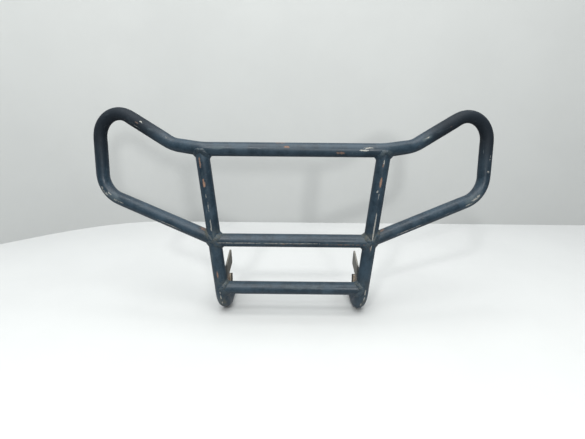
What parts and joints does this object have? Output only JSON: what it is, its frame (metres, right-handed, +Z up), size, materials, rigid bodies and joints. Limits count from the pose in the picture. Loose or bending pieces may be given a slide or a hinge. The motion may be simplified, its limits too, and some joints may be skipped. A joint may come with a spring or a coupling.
{
  "type": "front grille guard",
  "caption": "Welded round-tube front guard: swept-back hoop with side wings, leaning uprights with hooked-back feet, crossbars and slotted mounting plates.",
  "frame": {"origin": "on the axis of the two bolt hooks, half way between the mounting plates", "axes": "+X to the viewer's right when facing the front of the guard, -Y the front, +Y back towards the vehicle, +Z up"},
  "size_m": [0.7772, 0.1113, 0.3993],
  "materials": {
    "tube": "weathered satin slate-black paint, chipped to primer and rust",
    "weld": "painted weld bead, dull, lightly rusted",
    "plate": "paint worn away, grey-tan bare steel with rust"
  },
  "bodies": {
    "root": {"hoop_tube": "tube", "left_lower_bar_weld": "weld", "left_middle_bar_weld": "weld", "left_mount_plate": "plate", "left_plate_inner_foot_weld": "weld", "left_plate_inner_upright_weld": "weld", "left_plate_outer_foot_weld": "weld", "left_plate_outer_upright_weld": "weld", "left_rail_weld": "weld", "left_upright_tube": "tube", "left_wing_weld": "weld", "lower_crossbar": "tube", "middle_crossbar": "tube", "right_lower_bar_weld": "weld", "right_middle_bar_weld": "weld", "right_mount_plate": "plate", "right_plate_inner_foot_weld": "weld", "right_plate_inner_upright_weld": "weld", "right_plate_outer_foot_weld": "weld", "right_plate_outer_upright_weld": "weld", "right_rail_weld": "weld", "right_upright_tube": "tube", "right_wing_weld": "weld"}
  },
  "joints": []
}
